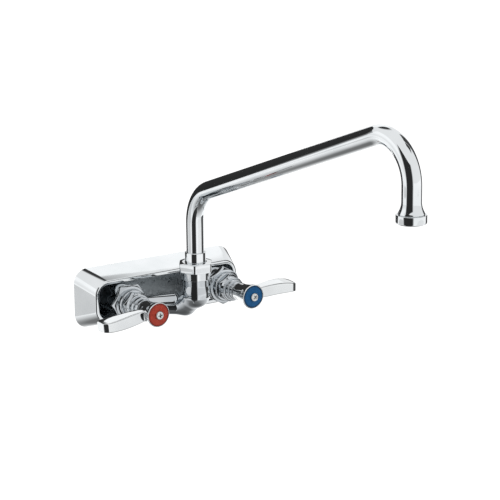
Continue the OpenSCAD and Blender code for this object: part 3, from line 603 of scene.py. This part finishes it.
# Each disc's colour, its mottled darker tone, and its rim colour, which is painted shade
for side, label, colour, shade, rim, turn in ((HOT, "hot", "#9C3626", "#923020", "#74241A", 5),
                                              (COLD, "cold", "#064C7C", "#034672", "#02304F", 42)):
    paint = moulded(f"{label}_index_plastic", colour, shade, rim, (side * valve_x * 0.001, -0.091, 0))
    piece(f"{label}_index_face", *on_valve(side, turned(disc_line)), paint, f"{label}_handle",
          "hot_red" if side == HOT else "cold_blue", [f"{label}_index"])
    slots = []
    for quarter in (0, 90):
        c, s = math.cos(math.radians(quarter + turn)), math.sin(math.radians(quarter + turn))
        corners = [(sx * length, sy * width, z) for z, length, width in ((91.9, 1.1, 0.5), (94.4, 2.5, 0.72))
                   for sx, sy in ((-1, -1), (1, -1), (1, 1), (-1, 1))]
        corners = [(x * c - y * s, x * s + y * c, z) for x, y, z in corners]
        slots.append(on_valve(side, (corners, slot_faces)))
    piece(f"{label}_screw_steel", *on_valve(side, turned(screw_line, 64, closed=False)), steel,
          f"{label}_handle", "stainless", [f"{label}_screw"], cutters=slots)


# ---- Spout nut and sleeve ----
# The nut is turned from hexagon brass with a round skirt below its flats. It screws on to the neck and
# holds the flanged sleeve, which swivels with the tube brazed into it. All of it is chromed.

def stood(shape, out):
    """A shape drawn about +Z, stood upright that far out from the wall."""
    points, faces = shape
    return [(x, y - out, z) for x, y, z in points], faces


nut_line = eased([(11.22, 21.55), (12.8, 21.55), (12.8, 28.75), (14.1, 28.76)], [0.2, 0.5, 0.5, 0]) + [
    (16.61, 29.45), (16.61, 36.75), (14.1, 37.65)]
hexagon_at = len(nut_line) - 4
nut_line += eased([(14.1, 37.65), (9.75, 37.65), (9.75, 28.75), (11.22, 28.75), (11.22, 21.55)],
                  [0, 0.4, 0, 0, 0])[1:-1]
spout_nut = turned(nut_line, 240, hexagon=(hexagon_at, hexagon_at + 3, 28.6, 3.2), turn=84.8)
piece("spout_nut_hexagon", *stood(spout_nut, riser_out), turned_chrome, "fixed", "chrome", ["spout_nut"],
      crease=22, ease=0.18)
sleeve_line = eased(
    [(5.3, 6.5), (7.3, 6.5), (7.9, 7.1), (7.9, 9.5), (5.8, 9.5), (5.8, 12.1), (7.9, 12.1), (7.9, 16),
     (5.8, 16), (5.8, 18.6), (7.9, 18.6), (7.9, 26.2), (10.6, 26.2), (10.6, 28.6), (9.45, 28.6), (9.45, 46.6),
     (8.07, 46.6), (8.07, 34.65), (5.3, 34.65)],
    [0] * 12 + [0.2, 0.2, 0, 0.7, 0.15, 0, 0], closed=True)
piece("spout_sleeve", *stood(turned(sleeve_line), riser_out), turned_chrome, "spout", "chrome",
      ["spout_stem"])


# ---- Spout tube ----
# Drawn brass tube, bent twice and then swaged out at its end to the aerator's thread. It is buffed
# along its length before plating, and its foot is brazed into the sleeve.

def stretch(start, end):
    """Points from start to end, 6 mm apart at most, without the end."""
    count = max(1, math.ceil(math.dist(start, end) / 6))
    return [tuple(a + (b - a) * k / count for a, b in zip(start, end)) for k in range(count)]


# The arm rises at 19.7 degrees between the two bends, each given by its radius and its centre's height
outlet_out, arm_rise, tube_r = 378.2, 19.7, 7.95
low_r, low_z, low_steps = 35.7, 73.76, 40
high_r, high_z, high_steps = 34.5, 159.04, 56
low_bend = [(0.0, -riser_out - low_r * (1 - math.cos(a)), low_z + low_r * math.sin(a))
            for a in (math.radians(90 - arm_rise) * k / low_steps for k in range(low_steps + 1))]
high_bend = [(0.0, -outlet_out + high_r * (1 - math.cos(a)), high_z + high_r * math.sin(a))
             for a in (math.radians(90 + arm_rise) * k / high_steps for k in range(high_steps, -1, -1))]
swage = [(146.6, 7.97), (145.6, 8.05), (143.9, 8.35), (142.6, 8.7), (141.4, 9.15), (140.2, 9.7),
         (139.3, 10.15), (138.7, 10.45), (138.1, 10.62), (137.9, 10.6), (137.66, 10.4), (137.64, 9.8),
         (132.8, 9.8)]
line = stretch((0.0, -riser_out, 34.7), low_bend[0]) + low_bend
line += stretch(low_bend[-1], high_bend[0])[1:] + high_bend
line += stretch(high_bend[-1], (0.0, -outlet_out, 148.0))[1:]
radii = [tube_r] * len(line) + [r for z, r in swage]
line += [(0.0, -outlet_out, z) for z, r in swage]
mesh = bpy.data.meshes.new("spout_line")
mesh.from_pydata([[c * 0.001 for c in p] for p in line], [(i, i + 1) for i in range(len(line) - 1)], [])
mesh.attributes.new("girth", "FLOAT", "POINT").data.foreach_set("value", [r * 0.001 for r in radii])
tube = in_scene("spout_tube_drawn", mesh)

tree, given, out = new_geometry_tree("drawn_tube", [
    ("Bore Radius", "NodeSocketFloat", 0.0069), ("Sides", "NodeSocketInt", 72)])
path = add(tree, "GeometryNodeMeshToCurve", [("Mesh", given["Geometry"])])
girth = add(tree, "GeometryNodeInputNamedAttribute", data_type="FLOAT", Name="girth")
circle = add(tree, "GeometryNodeCurvePrimitiveCircle", [("Resolution", given["Sides"])], Radius=1.0)
skin, bore = (add(tree, "GeometryNodeCurveToMesh", [
    ("Curve", path), ("Profile Curve", circle), ("Scale", radius)], Fill_Caps=False)
    for radius in (girth.outputs["Attribute"], given["Bore Radius"]))
inside_out = add(tree, "GeometryNodeFlipFaces", [("Mesh", bore)])
both = add(tree, "GeometryNodeJoinGeometry", [(0, inside_out), (0, skin)])
end_tree(tree, both, given, out)
# Buffed along its length, so its lines run with the tube
tube_chrome = chrome_plate("chromed_tube", "#E1E4E6", "#D6DADC", 0.045, 0.03, (700, 60, 60))
grown(tube, tree, Bore_Radius=0.00685, Sides=72, Metal=tube_chrome)
work = bmesh.new()
work.from_mesh(tube.data)
rims = [edge for edge in work.edges if edge.is_boundary]
for end in (True, False):
    bmesh.ops.bridge_loops(work, edges=[edge for edge in rims if (edge.verts[0].co.y > -0.2) == end])
bmesh.ops.recalc_face_normals(work, faces=work.faces)
work.to_mesh(tube.data)
work.free()
tube.data.shade_smooth()
tube.data.set_sharp_from_angle(angle=math.radians(40))
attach(tube, "spout")
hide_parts("spout_tube")


# ---- Aerator ----
# A chromed housing screws on to the outlet and clamps a rubber washer. Inside it are a nylon disc with
# holes and a screen woven from thin stainless wire, which mixes air into the water.

housing_line = eased(
    [(8.8, 130.2), (12.2, 130.2), (12.2, 137.6), (9.92, 137.6), (9.92, 131.4), (8.8, 131.4)],
    [0.25, 2.5, 0.45, 0.2, 0, 0], closed=True, steps=8)
piece("aerator_shell", *stood(turned(housing_line), outlet_out), turned_chrome, "spout", "chrome",
      ["aerator_housing"])

weave, given, out = new_geometry_tree("woven_screen", [
    ("Wires", "NodeSocketInt", 15), ("Pitch", "NodeSocketFloat", 0.0011),
    ("Radius", "NodeSocketFloat", 0.0082), ("Wire Radius", "NodeSocketFloat", 0.00017)])
# One wire is laid on each point of a row, cut to its chord of the round screen
gaps = add(weave, "ShaderNodeMath", [(0, given["Wires"]), (1, 1)], operation="SUBTRACT")
span = add(weave, "ShaderNodeMath", [(0, gaps), (1, given["Pitch"])], operation="MULTIPLY")
half = add(weave, "ShaderNodeMath", [(0, span), (1, -0.5)], operation="MULTIPLY")
first = add(weave, "ShaderNodeCombineXYZ", [("X", half)])
offset = add(weave, "ShaderNodeCombineXYZ", [("X", given["Pitch"])])
row = add(weave, "GeometryNodeMeshLine", [
    ("Count", given["Wires"]), ("Start Location", first), ("Offset", offset)])
place = add(weave, "GeometryNodeInputPosition")
split = add(weave, "ShaderNodeSeparateXYZ", [("Vector", place)])
square, whole = (add(weave, "ShaderNodeMath", [(0, length), (1, length)], operation="MULTIPLY")
                 for length in (split.outputs["X"], given["Radius"]))
left = add(weave, "ShaderNodeMath", [(0, whole), (1, square)], operation="SUBTRACT")
chord = add(weave, "ShaderNodeMath", [(0, left)], operation="SQRT")
size = add(weave, "ShaderNodeCombineXYZ", [("Y", chord)], X=1.0, Z=1.0)
wire = add(weave, "GeometryNodeCurvePrimitiveLine", Start=(0, -1, 0), End=(0, 1, 0))
fine = add(weave, "GeometryNodeResampleCurve", [("Curve", wire)], Count=61)
laid = add(weave, "GeometryNodeInstanceOnPoints", [("Points", row), ("Instance", fine), ("Scale", size)])
warp = add(weave, "GeometryNodeRealizeInstances", [("Geometry", laid)])
crossed = add(weave, "GeometryNodeTransform", [("Geometry", warp)], Rotation=(0, 0, math.pi / 2))
# Each wire goes over one and under the next: a wave of two pitches, and its opposite for the cross wires
step = add(weave, "ShaderNodeMath", [(0, math.pi), (1, given["Pitch"])], operation="DIVIDE")
turns = add(weave, "ShaderNodeVectorMath", [("Vector", place), ("Scale", step)], operation="SCALE")
swing = add(weave, "ShaderNodeVectorMath", [("Vector", turns)], operation="COSINE")
parts = add(weave, "ShaderNodeSeparateXYZ", [("Vector", swing)])
both = add(weave, "ShaderNodeMath", [(0, parts.outputs["X"]), (1, parts.outputs["Y"])], operation="MULTIPLY")
lift = add(weave, "ShaderNodeMath", [(0, both), (1, given["Wire Radius"])], operation="MULTIPLY")
bent = []
for wires, sign in ((warp, 1), (crossed, -1)):
    signed = add(weave, "ShaderNodeMath", [(0, lift), (1, sign)], operation="MULTIPLY")
    rise_by = add(weave, "ShaderNodeCombineXYZ", [("Z", signed)])
    bent.append(add(weave, "GeometryNodeSetPosition", [("Geometry", wires), ("Offset", rise_by)]))
cloth = add(weave, "GeometryNodeJoinGeometry", [(0, wires) for wires in bent])
round_wire = add(weave, "GeometryNodeCurvePrimitiveCircle", [("Radius", given["Wire Radius"])],
                 Resolution=6)
solid_wire = add(weave, "GeometryNodeCurveToMesh", [
    ("Curve", cloth), ("Profile Curve", round_wire)], Fill_Caps=True)
end_tree(weave, solid_wire, given, out)
screen = in_scene("aerator_screen_cloth", bpy.data.meshes.new("blank"))
grown(screen, weave, Wires=15, Pitch=0.0011, Radius=0.00835, Wire_Radius=0.00016, Metal=steel)
screen.data.transform(Matrix.Translation((0, -outlet_out * 0.001, 0.1308)))
screen.data.shade_smooth()
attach(screen, "spout")
rim = turned(eased([(7.9, 130.5), (8.55, 130.5), (8.55, 131.08), (7.9, 131.08)], [0.15] * 4, closed=True))
piece("aerator_screen_rim", *stood(rim, outlet_out), steel, "spout", "stainless", ["aerator_screen"])


# ---- Cartridges, seals and washers ----
# The working parts inside: brass shells and spindles, lapped ceramic discs, rubber seals and O-rings,
# and the nylon swivel washer and aerator disc. They keep their plain shapes and get their own materials.

def rubbery(name, colour, bloom):
    """Black moulded rubber with a faint dusty bloom in 8 mm clouds and a 0.4 mm grain."""
    material, tree = new_material(name)
    place = add(tree, "ShaderNodeTexCoord").outputs["Object"]
    dust = add(tree, "ShaderNodeTexNoise", [("Vector", place)], Scale=120.0, Detail=5.0)
    tint = ramp(tree, dust, [(0.4, colour), (0.75, bloom)])
    grain = add(tree, "ShaderNodeTexNoise", [("Vector", place)], Scale=2500.0, Detail=2.0)
    bump = add(tree, "ShaderNodeBump", [("Height", grain)], Strength=0.12, Distance=0.0002)
    skin = add(tree, "ShaderNodeBsdfPrincipled", [("Base Color", tint), ("Normal", bump)],
               Roughness=0.62, IOR=1.5)
    add(tree, "ShaderNodeOutputMaterial", [("Surface", skin)])
    return material


def smooth_white(name, colour, shade, gloss, depth, speck):
    """A pale moulded or fired material: 6 mm clouds, fine specks, and a little light under its skin."""
    material, tree = new_material(name)
    place = add(tree, "ShaderNodeTexCoord").outputs["Object"]
    cloud = add(tree, "ShaderNodeTexNoise", [("Vector", place)], Scale=180.0, Detail=4.0)
    grains = add(tree, "ShaderNodeTexVoronoi", [("Vector", place)], Scale=speck)
    tint = ramp(tree, cloud, [(0.3, shade), (0.7, colour)])
    shine = add(tree, "ShaderNodeMapRange", [("Value", grains)], To_Min=gloss * 1.3, To_Max=gloss * 0.8)
    body = add(tree, "ShaderNodeBsdfPrincipled", [("Base Color", tint), ("Roughness", shine)],
               Subsurface_Weight=0.15, Subsurface_Radius=(0.001, 0.0008, 0.0006), Subsurface_Scale=depth)
    add(tree, "ShaderNodeOutputMaterial", [("Surface", body)])
    return material


# Dull black rubber, ceramic lapped to a sheen, and waxy nylon
rubber = rubbery("black_rubber", "#232325", "#38383A")
ceramic = smooth_white("lapped_ceramic", "#F2EDE2", "#E8E2D5", 0.16, 0.3, 2200.0)
nylon = smooth_white("white_nylon", "#EBEBE5", "#DEDED6", 0.42, 0.8, 1400.0)
finishes = ((("seal", "o_ring", "o_rings", "aerator_washer"), rubber), (("disc",), ceramic),
            (("cartridge_shell", "spindle"), brass), (("swivel_washer", "aerator_insert"), nylon))
for name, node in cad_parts.items():
    for endings, material in finishes:
        if name.endswith(endings):
            node.data.materials.clear()
            node.data.materials.append(material)


# ---- Floor, lights and camera ----
# The faucet hangs as it would on a wall, well above a pale floor, in a plain white studio. Dark and
# bright cards stand round it, seen only by the metal, to give the chrome its dark and bright bands.

def sheet_of(name, corners, material):
    """A sheet between two rows of corners, with a UV map that runs across it."""
    mesh = bpy.data.meshes.new(name)
    count = len(corners[0])
    points = [Vector(p) for row in corners for p in row]
    mesh.from_pydata(points, [], [(i, i + 1, i + 1 + count, i + count) for i in range(count - 1)])
    uv = mesh.uv_layers.new(name="across")
    for polygon in mesh.polygons:
        for loop, vertex in zip(polygon.loop_indices, polygon.vertices):
            uv.data[loop].uv = (vertex % count / (count - 1), vertex // count)
    mesh.materials.append(material)
    thing = in_scene(name, mesh)
    return thing


def background_glow(tree):
    """1 for the rays that see the background itself, in the view, in metal and through glass; else 0."""
    view, metal, glass = (add(tree, "ShaderNodeLightPath").outputs[f"Is {kind} Ray"]
                          for kind in ("Camera", "Glossy", "Transmission"))
    seen = add(tree, "ShaderNodeMath", [(0, view), (1, metal)], operation="ADD")
    return add(tree, "ShaderNodeMath", [(0, seen), (1, glass)], operation="ADD", use_clamp=True)


floor_paint, tree = new_material("pale_floor")
pale = add(tree, "ShaderNodeBsdfDiffuse", Color=srgb("#F2F2F2"))
glow = add(tree, "ShaderNodeEmission", [("Strength", background_glow(tree))], Color=(0.5, 0.5, 0.5, 1))
both = add(tree, "ShaderNodeAddShader", [(0, pale), (1, glow)])
add(tree, "ShaderNodeOutputMaterial", [("Surface", both)])
floor_z, floor_half = -0.9, 30
sheet_of("floor", [[(x, y, floor_z) for x in (-floor_half, floor_half)] for y in (-floor_half, floor_half)],
         floor_paint)

world = bpy.data.worlds.new("studio")
bpy.context.scene.world = world
world.use_nodes = True
world.node_tree.nodes.clear()
tree = world.node_tree
strength = add(tree, "ShaderNodeMapRange", [("Value", background_glow(tree))], To_Min=0.75, To_Max=1.0)
light = add(tree, "ShaderNodeBackground", [("Strength", strength)], Color=(1, 1, 1, 1))
add(tree, "ShaderNodeOutputWorld", [("Surface", light)])


def card(name, corners, material, tree, tone):
    """A studio card that only the metal's reflections show, glowing in its tone."""
    glow = add(tree, "ShaderNodeEmission", [("Color", tone)])
    add(tree, "ShaderNodeOutputMaterial", [("Surface", glow)])
    thing = sheet_of(name, corners, material)
    thing.visible_camera = thing.visible_diffuse = thing.visible_shadow = False


def flag(name, corners, stops):
    """A standing card: its tone runs across it by (place, brightness) stops."""
    material, tree = new_material(name)
    across = add(tree, "ShaderNodeUVMap", uv_map="across")
    split = add(tree, "ShaderNodeSeparateXYZ", [("Vector", across)])
    card(name, corners, material, tree, ramp(tree, split.outputs["X"], stops))


# The open side where the camera stands is a dark curve on the floor and up from it, from left to right
low, high, bows = -0.84, 0.95, 24
turns = [math.radians(180 + 70.8 * k / bows) for k in range(bows + 1)]
reach = [0.734 + 0.722 * k / bows for k in range(bows + 1)]
gap = [(r * math.cos(a), -0.225 + r * math.sin(a)) for a, r in zip(turns, reach)]
flag("dark_front_floor", [[(0.4 * x, 0.4 * y - 0.1, low) for x, y in gap], [(x, y, low) for x, y in gap]],
     [(0, 1.0), (0.12, 0.05), (0.86, 0.05), (1.0, 0.8)])
flag("dark_front", [[(x, y, z) for x, y in gap] for z in (low, high)],
     [(0, 1.0), (0.1, 0.03), (0.88, 0.03), (1.0, 1.0)])
flag("dark_right", [[(0.528, -0.443, -0.3), (0.88, 0.115, -0.3)], [(0.528, -0.443, 1.2), (0.88, 0.115, 1.2)]],
     [(0, 0.8), (0.1, 0.06), (0.9, 0.08), (1.0, 0.9)])
flag("dark_high_right", [[(0.6, -0.83, 0.9), (0.88, -0.45, 0.9)], [(0.6, -0.83, 1.7), (0.88, -0.45, 1.7)]],
     [(0, 0.5), (0.15, 0.05), (0.85, 0.05), (1.0, 0.5)])
flag("dark_back", [[(0.96, 0.75, -0.2), (0.5, 0.75, -0.25), (0.3, 0.75, -0.25), (-0.1, 0.75, -0.27),
                    (-0.46, 0.75, -0.27), (-0.72, 0.75, 0)],
                   [(0.96, 0.75, 0.12), (0.5, 0.75, 0.22), (0.42, 0.75, 0.58), (0.05, 0.75, 0.8),
                    (-0.22, 0.75, 0.8), (-0.72, 0.75, 0.5)]],
     [(0, 0.6), (0.1, 0.04), (0.9, 0.03), (1.0, 0.6)])


def flat_flag(name, centre, radius, stops):
    """A level card: its tone runs in rings from the centre to its edges by stops."""
    material, tree = new_material(name)
    place = add(tree, "ShaderNodeTexCoord").outputs["Object"]
    away = add(tree, "ShaderNodeVectorMath", [("Vector", place), (1, centre)], operation="SUBTRACT")
    length = add(tree, "ShaderNodeVectorMath", [("Vector", away)], operation="LENGTH")
    share = add(tree, "ShaderNodeMapRange", [("Value", length.outputs["Value"])], From_Max=radius)
    x, y, z = centre
    corners = [[(x + sx * radius, y + sy * radius, z) for sx in (-1, 1)] for sy in (-1, 1)]
    card(name, corners, material, tree, ramp(tree, share, stops))


flat_flag("dark_ceiling", (0.35, 0.95, 1.5), 0.65, [(0.6, 0.05), (0.95, 1.0)])
flag("bright_left", [[(-1.2, 1.6, -0.05), (-1.2, 1.6, 1.35)], [(-2.1, 0.1, -0.05), (-2.1, 0.1, 1.35)]],
     [(0, 1.0), (0.25, 1.05), (0.5, 1.22), (0.9, 1.22), (1.0, 1.0)])
flag("bright_back", [[(0.26, 1.0, 0.6), (0.95, 0.62, 0.6)], [(0.26, 1.1, 1.27), (0.95, 0.72, 1.27)]],
     [(0, 1.0), (0.12, 1.22), (0.88, 1.22), (1.0, 1.0)])
# Level cards that only the metal mirrors: painted shade on the floor to the right and left, and a painted
# shadow under the faucet, darkest straight below
flat_flag("dim_floor_right", (1.75, -2.95, -0.88), 1.9, [(0.0, 1.02), (0.8, 1.02), (1.0, 1.15)])
flat_flag("dim_floor_left", (-3.2, 1.35, -0.88), 1.7, [(0.0, 0.78), (0.85, 0.78), (1.0, 1.15)])
flat_flag("dim_floor", (-0.1, 0, -0.86), 1.35,
          [(0.0, 0.11), (0.35, 0.23), (0.43, 0.38), (0.67, 0.74), (1.0, 1.0)])


def softbox(name, azimuth, elevation, distance, size, power):
    """A soft lamp that looks at the middle of the faucet. The metal doesn't mirror it."""
    middle = Vector((0, -0.2, 0.05))
    lamp = bpy.data.lights.new(name, "AREA")
    lamp.shape, lamp.size, lamp.size_y, lamp.energy = "RECTANGLE", size[0], size[1], power
    thing = in_scene(name, lamp)
    a, e = math.radians(azimuth), math.radians(elevation)
    way = Vector((math.cos(a) * math.cos(e), math.sin(a) * math.cos(e), math.sin(e)))
    thing.location = middle + way * distance
    thing.rotation_euler = way.to_track_quat("Z", "Y").to_euler()
    thing.visible_glossy = False


softbox("back_softbox", 60, 36, 1.5, (0.8, 0.7), 9)
softbox("left_softbox", 150, 18, 1.5, (0.9, 0.8), 8)
softbox("right_softbox", 290, 20, 1.6, (1.0, 0.9), 10)

view = bpy.data.cameras.new("camera")
view.lens, view.sensor_width, view.clip_end = 139.54, 36, 200
camera = in_scene("camera", view)
stand = (-0.91457, -1.4944, 0.47126)
yaw, pitch, roll = math.radians(34.43), math.radians(14.08), math.radians(-0.51)
ahead = Vector((math.sin(yaw) * math.cos(pitch), math.cos(yaw) * math.cos(pitch), -math.sin(pitch)))
level_right = Vector((math.cos(yaw), -math.sin(yaw), 0))
level_up = level_right.cross(ahead)
right = level_right * math.cos(roll) + level_up * math.sin(roll)
up = level_up * math.cos(roll) - level_right * math.sin(roll)
camera.matrix_world = Matrix.Translation(stand) @ Matrix((right, up, -ahead)).transposed().to_4x4()
bpy.context.scene.camera = camera
bpy.context.scene.view_settings.view_transform = "Standard"
